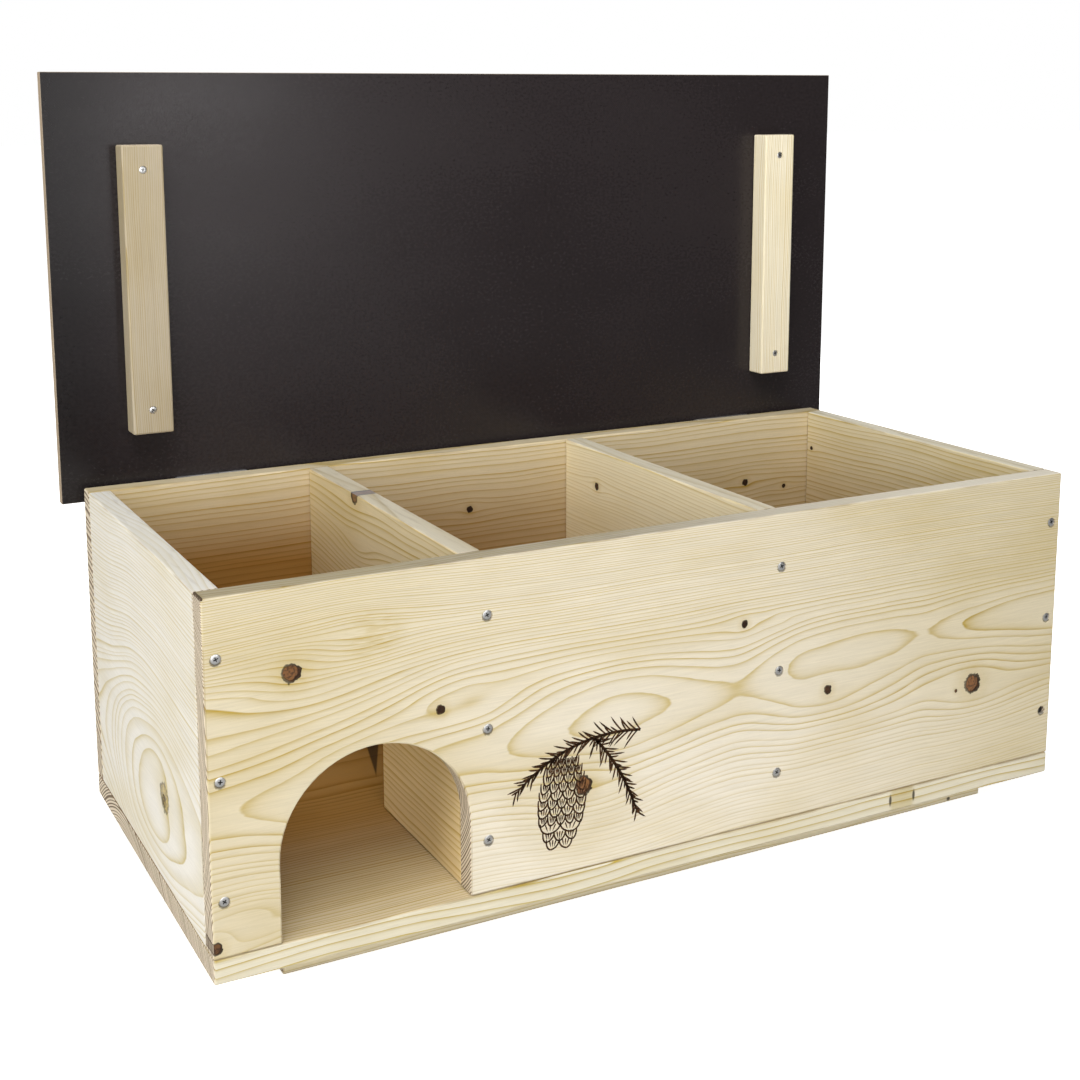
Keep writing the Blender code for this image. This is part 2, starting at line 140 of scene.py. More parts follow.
def vector_calc(operation, *values, out=0):
    inputs = dict(enumerate(values))
    return made(tree_of(*values), "ShaderNodeVectorMath", inputs, out, operation=operation)


def measure(operation, *values):
    """The length of a vector, the distance of two or their dot product."""
    return vector_calc(operation, *values, out="Value")


def scaled(vector, scale):
    """A vector or colour times a number."""
    inputs = {0: vector, "Scale": scale}
    return made(tree_of(vector, scale), "ShaderNodeVectorMath", inputs, operation="SCALE")


def combine(x, y, z):
    return made(tree_of(x, y, z), "ShaderNodeCombineXYZ", {0: x, 1: y, 2: z})


def split(vector):
    node = add_node(tree_of(vector), "ShaderNodeSeparateXYZ", {0: vector})
    return [Signal(socket) for socket in node.outputs]


def between(value, low, high, to_low=0.0, to_high=1.0):
    """A smooth step from to_low to to_high as the value goes from low to high."""
    inputs = {"Value": value, "From Min": low, "From Max": high, "To Min": to_low, "To Max": to_high}
    return made(tree_of(value), "ShaderNodeMapRange", inputs, interpolation_type="SMOOTHSTEP")


def fade(value, low, high):
    return between(value, low, high, 1.0, 0.0)


def mix_color(share, first, second, mode="MIX"):
    inputs = {0: share, 6: first, 7: second}
    settings = dict(data_type="RGBA", blend_type=mode, clamp_factor=True)
    return made(tree_of(share, first, second), "ShaderNodeMix", inputs, 2, **settings)


def blend(share, first, second):
    """The first value where the share is 0, the second where it is 1."""
    return made(tree_of(share), "ShaderNodeMix", {0: share, 2: first, 3: second}, data_type="FLOAT")


def noise(position, stretch=None, scale=1.0, detail=2.0, roughness=0.5, out="Fac"):
    """Noise over a position, each of whose axes can be multiplied first."""
    if stretch:
        position = vector_calc("MULTIPLY", position, stretch)
    inputs = {"Vector": position, "Scale": scale, "Detail": detail, "Roughness": roughness}
    return made(tree_of(position), "ShaderNodeTexNoise", inputs, out)


def centred(value, amount):
    """A noise value of 0 to 1, moved to swing about zero by the amount."""
    return (value - 0.5) * amount


def bump(height, depth, strength):
    inputs = {"Height": height, "Distance": depth, "Strength": strength}
    return made(tree_of(height), "ShaderNodeBump", inputs)


def new_group(name, inputs, outputs):
    """A shader node group with the labels given for each kind of socket. Returns its tree and inputs."""
    tree = bpy.data.node_groups.new(name, "ShaderNodeTree")
    for in_out, sockets in (("INPUT", inputs), ("OUTPUT", outputs)):
        for kind, labels in sockets.items():
            for label in labels:
                tree.interface.new_socket(label, in_out=in_out, socket_type=kind)
    return tree, signals(tree.nodes.new("NodeGroupInput"))


def use_group(group, inputs):
    """Places a node group and returns its outputs by name."""
    return signals(add_node(tree_of(*inputs.values()), "ShaderNodeGroup", inputs, node_tree=group))


def new_material(name):
    material = bpy.data.materials.new(name)
    material.use_nodes = True
    return material, material.node_tree.nodes["Principled BSDF"]


def object_space(tree):
    """The place on the object in millimetres, and the way that its surface faces."""
    where = signals(add_node(tree, "ShaderNodeTexCoord"))
    return scaled(where["Object"], MM), where["Normal"]


def solid_color(color):
    return (*color[:3], 1.0)


# Wood: groups whose positions are in millimetres, with the grain along their X


MASKS = ("Heart", "Bark", "Halo")
KNOT_SIZES = ("Along", "Up", "Radius", "Reach", "Core", "Dark")

# What tints the wood, and what shows in the knots and on the sawn ends
WARM_TINT = (0.84, 0.80, 0.67, 1.0)
WORN_TINT = (0.50, 0.42, 0.33, 1.0)
GRIME_TINT = (0.62, 0.58, 0.54, 1.0)
KNOT_GRAIN = (0.070, 0.022, 0.007, 1.0)
BARK = (0.014, 0.006, 0.003, 1.0)
END_EARLY = (0.72, 0.62, 0.47, 1.0)
END_LATE = (0.16, 0.11, 0.065, 1.0)
END_PORES = (0.38, 0.28, 0.175, 1.0)
END_BARK = (0.05, 0.024, 0.012, 1.0)


def growth_rings_group():
    """Growth rings of a log round a wandering pith, as the board cuts through them."""
    labels = ("Pith Depth", "Pith Height", "Spacing", "Wander", "Seed")
    outputs = {FLOAT: ("Late Wood", "End Stripe")}
    tree, entry = new_group("growth rings", {VECTOR: ("Position",), FLOAT: labels}, outputs)
    seed = combine(entry["Seed"], 0.0, 0.0)

    def seeded(stretch, out="Fac"):
        moved = vector_calc("MULTIPLY", entry["Position"], stretch)
        return noise(vector_calc("ADD", moved, seed), detail=1.0, out=out)

    drift = split(seeded((0.0055, 0.010, 0.010), out="Color"))
    along, depth, height = split(entry["Position"])
    across = depth - entry["Pith Depth"] + centred(drift[0], entry["Wander"])
    up = height - entry["Pith Height"] + centred(drift[1], entry["Wander"])
    phase = calc("SQRT", across * across + up * up) / entry["Spacing"]
    phase = phase + centred(seeded((0.009, 0.022, 0.022)), 0.9)
    phase = phase + centred(seeded((0.05, 0.30, 0.30)), 0.08)
    inputs = {"W": phase * 0.31 + entry["Seed"], "Scale": 1.0}
    uneven = made(tree, "ShaderNodeTexNoise", inputs, "Fac", noise_dimensions="1D")
    phase = phase + centred(uneven, 1.6)
    part = calc("FRACT", phase)
    inputs = {"W": calc("FLOOR", phase) + entry["Seed"]}
    year = made(tree, "ShaderNodeTexWhiteNoise", inputs, "Value", noise_dimensions="1D")
    strength = year * 0.6 + 0.8
    late = calc("POWER", part, 4.2) * fade(part, 0.92, 1.0) * strength
    stripe = between(part, 0.40, 0.72) * fade(part, 0.9, 1.0) * strength
    feed(tree.nodes.new("NodeGroupOutput"), {"Late Wood": late, "End Stripe": stripe})
    return tree


def knot_group():
    """One branch through the board: bends the grain round itself and adds to the knot masks."""
    inputs = {VECTOR: ("Position", "Bent"), FLOAT: ("Blur", *MASKS, *KNOT_SIZES)}
    tree, entry = new_group("knot", inputs, {VECTOR: ("Bent",), FLOAT: MASKS})
    radius = entry["Radius"]
    x, y, z = split(entry["Position"])
    away = x - entry["Along"]
    above = z - entry["Up"]
    above_squared = above * above
    long_away = away / 2.1
    reach = radius * entry["Reach"]
    reach_squared = reach * reach
    share = reach_squared / (long_away * long_away + above_squared + reach_squared)
    bent = vector_calc("ADD", entry["Bent"], combine(0.0, 0.0, above * share * -1.0))
    ratio = calc("SQRT", away * away + above_squared) / radius + centred(entry["Blur"], 0.75)
    heart = fade(ratio, 0.80, 1.0) * entry["Core"]
    side = away / radius * 0.10 + 0.86
    bark = fade(abs(ratio - 0.96), 0.08, 0.20) * side
    off_x = away + radius * 0.30
    off_z = above - radius * 0.18
    off = calc("SQRT", off_x * off_x + off_z * off_z) / radius + centred(entry["Blur"], 0.3)
    crescent = heart * between(off, 0.84, 1.02)
    bark = calc("MAXIMUM", bark, crescent * 0.85)
    bark = calc("MAXIMUM", bark, heart * entry["Dark"]) * entry["Core"]
    halo = fade(ratio, 1.0, 3.2) * entry["Core"]
    masks = zip(MASKS, (heart, bark, halo))
    found = {label: calc("MAXIMUM", entry[label], value) for label, value in masks}
    feed(tree.nodes.new("NodeGroupOutput"), {"Bent": bent, **found})
    return tree


def wood_surface_group():
    """Colour, roughness and height of planed spruce from its rings, fibres and knots."""
    cuts = ("End Grain", "End Stripe", "Sawn", "Marks", "Arris", "Inside", "Warmth", "Seed")
    colors = ("Early Color", "Late Color", "Knot Color", "Inner Color", "Sawn Color")
    inputs = {VECTOR: ("Position",), FLOAT: ("Late Wood", *MASKS, *cuts), COLOR: colors}
    outputs = {COLOR: ("Color",), FLOAT: ("Roughness", "Height")}
    tree, entry = new_group("planed spruce", inputs, outputs)
    moved = vector_calc("ADD", entry["Position"], combine(entry["Seed"], entry["Seed"], 0.0))
    fibre = noise(moved, (0.030, 0.9, 0.9), detail=4.0, roughness=0.7)
    streak = noise(moved, (0.008, 0.22, 0.22))
    cloud = noise(moved, (0.007, 0.016, 0.016))
    fleck = between(noise(moved, (0.16, 2.6, 2.6), detail=1.0), 0.66, 0.78)
    late = calc("ADD", entry["Late Wood"] * (streak * 0.9 + 0.5), entry["Halo"] * 0.22, clamp=True)
    color = mix_color(late, entry["Early Color"], entry["Late Color"])
    color = mix_color(between(cloud, 0.42, 0.75) * 0.22, color, entry["Late Color"])
    color = mix_color(entry["Warmth"], color, WARM_TINT, "MULTIPLY")
    # Screw press marks darken the wood: crushed wood and painted shade
    shade = 1.0 + centred(fibre, 0.30) + centred(streak, 0.08) - fleck * 0.10 - entry["Marks"] * 0.62
    color = scaled(color, shade)
    swirl = noise(moved, (0.42, 0.15, 0.42), detail=3.0)
    knot = mix_color(between(swirl, 0.42, 0.64), entry["Knot Color"], KNOT_GRAIN)
    color = mix_color(entry["Heart"] * 0.94, color, knot)
    color = mix_color(entry["Bark"], color, BARK)
    # Painted shade on the faces inside the box
    color = mix_color(entry["Inside"], color, entry["Inner Color"], "MULTIPLY")
    worn = between(noise(moved, scale=0.02, detail=3.0), 0.40, 0.62) * entry["Arris"] * 0.45
    color = mix_color(worn, color, WORN_TINT, "MULTIPLY")
    cut = mix_color(entry["End Stripe"], END_EARLY, END_LATE)
    pores = between(noise(moved, (0.5, 1.6, 1.6)), 0.45, 0.75, 0.0, 0.25)
    cut = mix_color(entry["Bark"], mix_color(pores, cut, END_PORES), END_BARK)
    color = mix_color(entry["End Grain"], color, cut)
    color = mix_color(entry["Sawn"] * 0.45, color, entry["Sawn Color"])
    # Patches of grime on the sawn edges
    grime_and_shade = between(noise(moved, (0.03, 0.25, 0.25), detail=3.0), 0.52, 0.72, 0.0, 0.35)
    color = mix_color(grime_and_shade * entry["Sawn"], color, GRIME_TINT, "MULTIPLY")
    rough = 0.56 + centred(fibre, 0.20) - late * 0.10 + entry["End Grain"] * 0.2
    rough = calc("ADD", rough, entry["Bark"] * 0.3, clamp=True)
    height = entry["Late Wood"] * 0.35 + fibre * 0.45 - entry["Bark"] * 0.9 - entry["Marks"] * 0.8
    outputs = {"Color": color, "Roughness": rough, "Height": height}
    feed(tree.nodes.new("NodeGroupOutput"), outputs)
    return tree


def profile_over(value, stops):
    """A smooth curve through (place, height) stops, read at the value and given back as a height."""
    low, high = stops[0][0], stops[-1][0]
    heights = [height for place, height in stops]
    least, most = min(heights), max(heights)
    inputs = {"Value": value, "From Min": low, "From Max": high}
    share = made(tree_of(value), "ShaderNodeMapRange", inputs)
    ramp = add_node(tree_of(value), "ShaderNodeValToRGB", {0: share})
    ramp.color_ramp.interpolation = "B_SPLINE"
    points = ramp.color_ramp.elements
    for place, _ in stops[1:-1]:
        points.new((place - low) / (high - low))
    for point, height in zip(points, heights):
        level = (height - least) / (most - least)
        point.color = (level, level, level, 1.0)
    return Signal(ramp.outputs["Color"]) * (most - least) + least


# The axes that a board's length, thickness and width lie along, its pith's depth and height, its
# rings' spacing and wander, its seed, and its shares of the common colours, partly the board's own
# tone and partly painted light and shade that makes up for how the lamps light it. Lengths in millimetres.
Board = namedtuple("Board", "axes pith spacing wander seed tone")
BOARDS = {
    "front_panel": Board("XYZ", (-279, 150), 2.05, 5, 3, (0.96, 0.98, 1.09)),
    "back_panel": Board("XYZ", (200, 20), 5.2, 10, 11, (1.06, 1.03, 0.98)),
    "left_side": Board("YXZ", (-470, 98), 2.5, 9, 21, (1.10, 1.18, 1.47)),
    "right_side": Board("YXZ", (450, 40), 4.2, 10, 31, (1.10, 1.10, 1.04)),
    "divider_left": Board("YXZ", (-270, -40), 4.2, 8, 41, (1.16, 1.12, 1)),
    "divider_right": Board("YXZ", (180, 50), 2.8, 10, 51, (1.26, 1.26, 1.22)),
    "floor_board": Board("XZY", (-85, 70), 2.7, 8, 61, (0.92, 0.96, 1.06)),
    "front_runner": Board("XZY", (80, -190), 3, 14, 71, (0.98, 0.99, 1.02)),
    "rear_runner": Board("XZY", (90, 70), 3, 14, 81, (1, 1, 1)),
    "lid_batten_left": Board("ZYX", (90, -390), 1.3, 10, 91, (0.61, 0.59, 0.61)),
    "lid_batten_right": Board("ZYX", (80, 390), 1.5, 12, 97, (1.28, 1.32, 1.45)),
}

# Sawn top edges. The front's is darker, and pales towards its right end.
SAWN_COLORS = {
    "back_panel": (0.34, 0.28, 0.18),
    "divider_left": (0.36, 0.38, 0.42),
    "divider_right": (0.42, 0.42, 0.43),
}
USUAL_SAWN = (0.65, 0.65, 0.63)
DARK_TOP = (0.14, 0.115, 0.075, 1.0)
PALE_TOP = (0.95, 0.92, 0.86, 1.0)

# How bold the growth lines are, where they aren't as on the other boards
LINE_SHARES = {"floor_board": 1.5, "left_side": 0.75, "divider_right": 0.65}

# Knots: their sizes in the order of KNOT_SIZES, in the board's own axes
KNOTS = {
    "front_panel": [
        (-315, 227, 6.4, 2.6, 1, 0.25), (-268, 246, 8, 2.2, 0, 0), (-207, 181.5, 3.4, 2.6, 1, 0.9),
        (-181, 188, 6, 1.9, 0, 0), (50, 203.5, 2.8, 2.6, 1, 0.95), (84, 203, 3, 1.4, 0, 0),
        (132, 136.5, 3.5, 2.6, 1, 0.8), (285, 115, 8.2, 3, 1, 0.1), (267, 111.5, 1.6, 1.2, 1, 0.3),
        (-92, 102, 7, 1.8, 1, 0.10), (-373, 44.5, 4.2, 3.2, 1, 0.5),
        (-374.3, 286.2, 1.1, 1.2, 1, 0.8), (-345, 60, 8, 2, 0, 0),
    ],
    "left_side": [(-64, 106, 10.5, 3.4, 0.62, 0), (-62.5, 103, 4.2, 1, 0.9, 0.45)],
    "divider_left": [(37, 285, 6.5, 3.2, 0.9, 0.1), (29, 250, 8, 2.2, 0, 0)],
    "divider_right": [(85, 253, 3.4, 1.9, 1, 0.7)],
    "back_panel": [(-28, 230.5, 3, 2, 1, 0.9), (281, 221, 3.2, 2, 1, 0.9), (329, 212, 2, 2, 1, 0.9)],
    "right_side": [(135, 250, 1.8, 2, 1, 0.9)],
}

# The front's pith swings in and out along the board, and so gives its oval figures
RIDGE_DEPTHS = [
    (-375, -289), (-300, -286), (-215, -278), (-160, -282), (-63, -271.5), (35, -282.5),
    (90, -275.6), (130, -275.4), (165, -275.5), (200, -276.4), (226, -277.6), (246, -276.9),
    (275, -275.6), (310, -274.4), (340, -273.6), (375, -273.8),
]
RIDGE_HEIGHTS = [
    (-375, 136), (-275, 146), (-175, 151), (-63, 146), (75, 154), (205, 160), (315, 163),
    (375, 165),
]
SIDE_DEPTHS = [(-158.8, -474), (-60, -464), (20, -468), (80, -480), (143.2, -486)]
WARM_STRETCHES = [(-375, 1.3), (-260, 0.6), (-120, 0), (60, 0.1), (200, 0.4), (375, 1.2)]
# Painted shade on the inner faces: how strong it is at each height, and the boards that get less of it
INNER_SHADE_HEIGHTS = [(36.6, 0.75), (110, 0.80), (175, 1), (222, 0.72), (258, 0.34), (286.6, 0.06)]
INNER_SHADE_SHARES = {"right_side": 0.6, "divider_left": 0.45, "divider_right": 0.25}
INNER_SIDES = dict(front_panel=("Y", 1), back_panel=("Y", -1), left_side=("X", 1), right_side=("X", -1))

# The dark wedge on the floor beyond the left passage: its thin end, its wide end and half its width
SPIKE_THIN = Vector((-166, 45))
SPIKE_WIDE = Vector((-143.5, 108))
SPIKE_HALF_WIDTH = 5.5

# Dark marks in the front edges of boards: along, up, half the length and half the height
EDGE_MARKS = {
    "floor_board": [(200.7, 28, 1.9, 6.5), (225.4, 28, 1.9, 6.5)],
    "front_runner": [(285, 3, 2.6, 2.2)],
}
EDGE_MARK_DEPTH = -150.0

# The front's rings are stretched above one height, and its pith levels off between two others
STRETCH_ABOVE = 215.0
LEVEL_FROM, LEVEL_TO = 170.0, 232.0

# The front's yellow wood and its fan of streaks, and the ochre patch on the floor's front edge
WARM_PLACE = (-101.0, 0.0, 121.0)
FAN_PLACE = (-255.0, 0.0, 304.0)
PATCH_PLACE = (213.0, 0.0, -177.0)
FLAT = (1.0, 0.0, 1.0)
UPRIGHT = (1.0, 0.0, 1.25)

# The boards whose screws press a mark, darkened partly with painted shade, and the heads' radius
SCREWED_BOARDS = {"front_panel": "front_screw", "back_panel": "back_screw"}
HEAD_RADIUS = 0.0035


def board_space(tree, axes):
    """The place in the board's own axes, and how far the surface faces along X, Y and Z."""
    position, normal = object_space(tree)
    along = dict(zip("XYZ", split(position)))
    return combine(*(along[axis] for axis in axes)), dict(zip("XYZ", split(normal)))


def front_grain(position):
    """The front's rings are mirrored about its face, and stretched towards its top."""
    x, y, z = split(position)
    tall = calc("MAXIMUM", z - STRETCH_ABOVE, 0.0) * 0.5
    return combine(x, 2 * FRONT_LOW.y * MM - y, z + tall)


def floor_wedge(position):
    """A dark wedge on the floor, added to the knots' bark mask."""
    length = (SPIKE_WIDE - SPIKE_THIN).length
    way = (SPIKE_WIDE - SPIKE_THIN).normalized()
    x, _, y = split(position)
    flat = combine(x - SPIKE_THIN.x, 0.0, y - SPIKE_THIN.y)
    along = measure("DOT_PRODUCT", flat, (way.x, 0.0, way.y))
    across = measure("DOT_PRODUCT", flat, (-way.y, 0.0, way.x))
    over = abs(across) - along * (SPIKE_HALF_WIDTH / length)
    return fade(over, -1.0, 0.6) * fade(along, length, length + 2.0)


def edge_marks(position, marks):
    """Dark slots and spots that show only on a board's front edge."""
    x, up, y = split(position)
    found = 0.0
    for along, height, half_length, half_height in marks:
        away = combine((x - along) / half_length, 0.0, (up - height) / half_height)
        found = calc("MAXIMUM", found, between(measure("LENGTH", away), 0.4, 1.0, 0.85, 0.0))
    return found * fade(y, EDGE_MARK_DEPTH, EDGE_MARK_DEPTH + 5.0)


def find_knots(name, group, position):
    """The position bent round a board's knots, and the masks of the knots."""
    bent = front_grain(position) if name == "front_panel" else position
    found = {"Bent": bent, **dict.fromkeys(MASKS, 0.0)}
    if name in KNOTS:
        blur = noise(position, (0.28, 0.06, 0.28), detail=1.0)
        for knot in KNOTS[name]:
            inputs = {"Position": position, "Blur": blur, **found, **dict(zip(KNOT_SIZES, knot))}
            found = use_group(group, inputs)
    if name == "floor_board":
        found["Bark"] = calc("MAXIMUM", found["Bark"], floor_wedge(position) * 0.8)
    if name in EDGE_MARKS:
        found["Bark"] = calc("MAXIMUM", found["Bark"], edge_marks(position, EDGE_MARKS[name]))
    return found


def pith_of(name, along, up):
    """The depth and height of a board's pith, which change along two of the boards."""
    depth, height = BOARDS[name].pith
    if name == "front_panel":
        level = between(up, LEVEL_FROM, LEVEL_TO)
        depth = blend(level, profile_over(along, RIDGE_DEPTHS), depth)
        height = blend(level, profile_over(along, RIDGE_HEIGHTS), height)
    elif name == "left_side":
        depth = profile_over(along, SIDE_DEPTHS)
    return depth, height


def off_place(position, place, share=FLAT):
    """How far a position lies from a place on the board's face."""
    return measure("DISTANCE", vector_calc("MULTIPLY", position, share), place)


def group_of(prefix):
    return [name for name in sorted(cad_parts) if name.startswith(prefix)]


def press_marks_and_shade(position, prefix):
    """Dark crushed wood and painted shade in a ring round the heads of a board's screws."""
    nearest = MM
    for low, high in map(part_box, group_of(prefix)):
        middle = (low + high) / 2 * MM
        away = off_place(position, (middle.x - 0.3, 0.0, middle.z - 0.7))
        nearest = calc("MINIMUM", nearest, away)
    nearest = nearest + centred(noise(position, (0.5, 0.0, 0.9)), 2.2)
    return fade(nearest, HEAD_RADIUS * MM * 1.02, HEAD_RADIUS * MM * 1.30)


def inner_face_shade(name, position, facing, look):
    """Painted shade on a face inside the box: how strong it is, and its tint, a warm painted light by the
    door and darker painted shade beyond.
    """
    along, _, across = split(position)
    if name == "floor_board":
        inside = between(facing["Z"], 0.5, 0.9) * between(across, FRONT_LOW.y * MM, 0.0, 0.38, 1.0)
        deep = between(across, -150.0, -60.0)
    elif name in INNER_SIDES or name.startswith("divider"):
        axis, sign = INNER_SIDES.get(name, ("X", 1.0))
        side = facing[axis] * sign if name in INNER_SIDES else abs(facing[axis])
        share = INNER_SHADE_SHARES.get(name, 1.0)
        # The back panel's painted shade is stronger at its left end than at its right
        if name == "back_panel":
            share = between(along, FRONT_LOW.x * MM, FRONT_HIGH.x * MM, 1.35, 0.48)
        inside = between(side, 0.5, 0.9) * (profile_over(across, INNER_SHADE_HEIGHTS) * share)
        deep = between(across, 110.0, 180.0)
    else:
        return 0.0, solid_color(look.warm_color)
    return inside, mix_color(deep, solid_color(look.warm_color), solid_color(look.inner_shade_color))


def front_warmth(position, along, up):
    """The front is yellower towards its ends, above its foot and round its middle knot."""
    warmth = profile_over(along, WARM_STRETCHES) + between(up, 85.0, 150.0, 0.0, 0.35)
    return warmth + between(off_place(position, WARM_PLACE, UPRIGHT), 38.0, 72.0, 0.55, 0.0)


def streak_fan(position):
    """The fan of streaks beside the front's upper left knot."""
    streaks = between(noise(position, (0.05, 0.0, 0.45)), 0.35, 0.55, 0.0, 1.4)
    return fade(off_place(position, FAN_PLACE, UPRIGHT), 6.0, 30.0) * streaks


def toned(color, tone):
    return solid_color([min(channel * share, 1.0) for channel, share in zip(color, tone)])


def board_material(name, groups, look):
    board = BOARDS[name]
    material, shader = new_material(f"{name}_spruce")
    position, facing = board_space(material.node_tree, board.axes)
    along, _, up = split(position)
    knots = find_knots(name, groups["knot"], position)
    depth, height = pith_of(name, along, up)
    inputs = {
        "Position": knots.pop("Bent"),
        "Pith Depth": depth,
        "Pith Height": height,
        "Spacing": board.spacing * look.ring_share,
        "Wander": board.wander,
        "Seed": board.seed,
    }
    rings = use_group(groups["rings"], inputs)
    late_wood = rings["Late Wood"] * LINE_SHARES.get(name, 1.0)
    sides = {axis: abs(facing[axis]) for axis in "XYZ"}
    arris = 0.0
    if not name.startswith("lid_batten"):
        flatness = calc("MAXIMUM", calc("MAXIMUM", sides["X"], sides["Y"]), sides["Z"])
        arris = fade(flatness, 0.92, 0.99)
    sawn_color = solid_color(SAWN_COLORS.get(name, USUAL_SAWN))
    warmth = 0.4
    if name == "front_panel":
        late_wood = late_wood * between(up, 60.0, 125.0, 0.55, 1.0)
        sawn_color = mix_color(between(along, -120.0, 300.0), DARK_TOP, PALE_TOP)
        warmth = front_warmth(position, along, up)
        knots["Halo"] = calc("MAXIMUM", knots["Halo"], streak_fan(position))
    elif name == "floor_board":
        away = off_place(position, PATCH_PLACE)
        warmth = between(away, 9.0, 15.0, 1.0, 0.4)
        knots["Halo"] = fade(away, 9.0, 14.0)
    inside, inner_shade_color = inner_face_shade(name, position, facing, look)
    inputs = {
        "Position": position,
        "Late Wood": late_wood,
        **knots,
        "End Grain": between(sides[board.axes[0]], 0.70, 0.95),
        "End Stripe": rings["End Stripe"],
        "Sawn": between(sides["Z"], 0.70, 0.95) if board.axes[2] == "Z" else 0.0,
        "Marks": press_marks_and_shade(position, SCREWED_BOARDS[name]) if name in SCREWED_BOARDS else 0.0,
        "Arris": arris,
        "Inside": inside,
        "Warmth": warmth,
        # The board's colours, scaled by its tone and by its painted light and shade
        "Early Color": toned(look.early_color, board.tone),
        "Late Color": toned(look.late_color, board.tone),
        "Knot Color": solid_color(look.late_color if name == "left_side" else look.knot_color),
        "Inner Color": inner_shade_color,
        "Sawn Color": sawn_color,
        "Seed": board.seed * 37.0,
    }
    surface = use_group(groups["surface"], inputs)
    normal = bump(surface.pop("Height"), 0.0002, 0.55)
    inputs = {"Specular IOR Level": 0.22, "Normal": normal, "Roughness": surface["Roughness"]}
    feed(shader, {**inputs, "Base Color": surface["Color"]})
    return material


# The weave's thread in millimetres, the lid's plies, and where the painted shade on the film's left end
# stops
THREAD = 2.2
PLIES = 7
FILM_UNSHADED_FROM = -290.0
CROSS_PLY = (0.33, 0.235, 0.145, 1.0)
PLY_FIBRE = (0.30, 0.21, 0.13, 1.0)


def film_material(look):
    """Dark phenolic film with a faint weave on both faces, and bare plies round the edge."""
    material, shader = new_material("film_faced_plywood")
    position, normal = object_space(material.node_tree)
    x, y, z = split(position)
    edge = fade(abs(split(normal)[1]), 0.55, 0.85)
    weave = calc("SINE", x * (math.tau / THREAD)) * calc("SINE", z * (math.tau / THREAD))
    grit = noise(position, detail=3.0)
    cloth = noise(position, (0.30, 0.9, 0.42), detail=3.0)
    cloud = noise(position, (0.004, 0.004, 0.006), detail=3.0)
    shade = 1.0 + centred(cloth, 0.8) + centred(cloud, 0.5) + weave * 0.07
    # Painted shade darkens the film towards the lid's left end
    shade = shade * between(x, LID_LOW.x * MM, FILM_UNSHADED_FROM, 0.45, 1.0)
    ply = (y - LID_LOW.y * MM) / ((LID_HIGH.y - LID_LOW.y) * MM / PLIES)
    crossed = calc("GREATER_THAN", calc("MODULO", ply, 2.0), 1.0)
    fibres = noise(position, (0.2, 3.0, 0.2), detail=3.0)
    veneer = mix_color(crossed, solid_color(look.ply_color), CROSS_PLY)
    veneer = mix_color(fibres * 0.5, veneer, PLY_FIBRE)
    rough = 0.27 + centred(cloud, 0.30) + centred(cloth, 0.16) + centred(grit, 0.08)
    inputs = {
        "Base Color": mix_color(edge, scaled(tuple(look.film_color), shade), veneer),
        "Roughness": calc("ADD", rough, edge * 0.25, clamp=True),
        "Specular IOR Level": 0.26,
        "Normal": bump(weave * 0.25 + grit, 0.00006, 0.8),
    }
    feed(shader, inputs)
    return material


def zinc_group():
    """A cloudy zinc plating. The operator that needs it first builds it."""
    built = bpy.data.node_groups.get("zinc plating")
    if built:
        return built
    inputs = {VECTOR: ("Position",), COLOR: ("Color",), FLOAT: ("Roughness",)}
    tree, entry = new_group("zinc plating", inputs, {COLOR: ("Color",), FLOAT: ("Roughness", "Height")})
    bloom = noise(entry["Position"], scale=0.6, detail=3.0)
    dust = noise(entry["Position"], scale=2.6)
    rough = calc("ADD", entry["Roughness"] + centred(bloom, 0.20), centred(dust, 0.10), clamp=True)
    color = scaled(entry["Color"], 1.0 + centred(bloom, 0.35))
    feed(tree.nodes.new("NodeGroupOutput"), {"Color": color, "Roughness": rough, "Height": dust})
    return tree


def zinc_material(name, color, rough_level):
    material, shader = new_material(name)
    inputs = {"Position": object_space(material.node_tree)[0], "Color": solid_color(color)}
    plating = use_group(zinc_group(), {**inputs, "Roughness": rough_level})
    feed(shader, {"Base Color": plating["Color"], "Roughness": plating["Roughness"]})
    feed(shader, {"Metallic": 1.0, "Normal": bump(plating["Height"], 0.00003, 0.4)})
    return material


def burn_material(look):
    """Scorched wood: nearly black in the middle of a stroke, brown where the iron skipped."""
    material, shader = new_material("burned_line")
    patch = noise(object_space(material.node_tree)[0], scale=0.8, detail=3.0)
    burn, scorch = solid_color(look.burn_color), solid_color(look.scorch_color)
    inputs = {
        "Base Color": mix_color(between(patch, 0.42, 0.68), burn, scorch),
        "Roughness": between(patch, 0.2, 0.8, 0.7, 0.9),
        "Specular IOR Level": 0.12,
        "Normal": bump(patch, 0.0002, 0.5),
    }
    feed(shader, inputs)
    return material


# Pieces


def close_up(shape):
    """Joins the points that meet, and turns the faces outwards."""
    bmesh.ops.remove_doubles(shape, verts=shape.verts, dist=0.000001)
    bmesh.ops.recalc_face_normals(shape, faces=shape.faces)


def add_object(name, data):
    item = bpy.data.objects.new(name, data)
    bpy.context.scene.collection.objects.link(item)
    return item


def mesh_object(name, shape, materials=()):
    mesh = bpy.data.meshes.new(name)
    shape.to_mesh(mesh)
    shape.free()
    for material in materials:
        mesh.materials.append(material)
    return add_object(name, mesh)


def finish_piece(name, shape, body, materials, smooth_angle=None):
    """Makes a bmesh a named piece that rides on a body."""
    close_up(shape)
    item = mesh_object(name, shape, materials)
    if smooth_angle is not None:
        item.data.shade_smooth()
        item.data.set_sharp_from_angle(angle=math.radians(smooth_angle))
    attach(item, body)
    return item


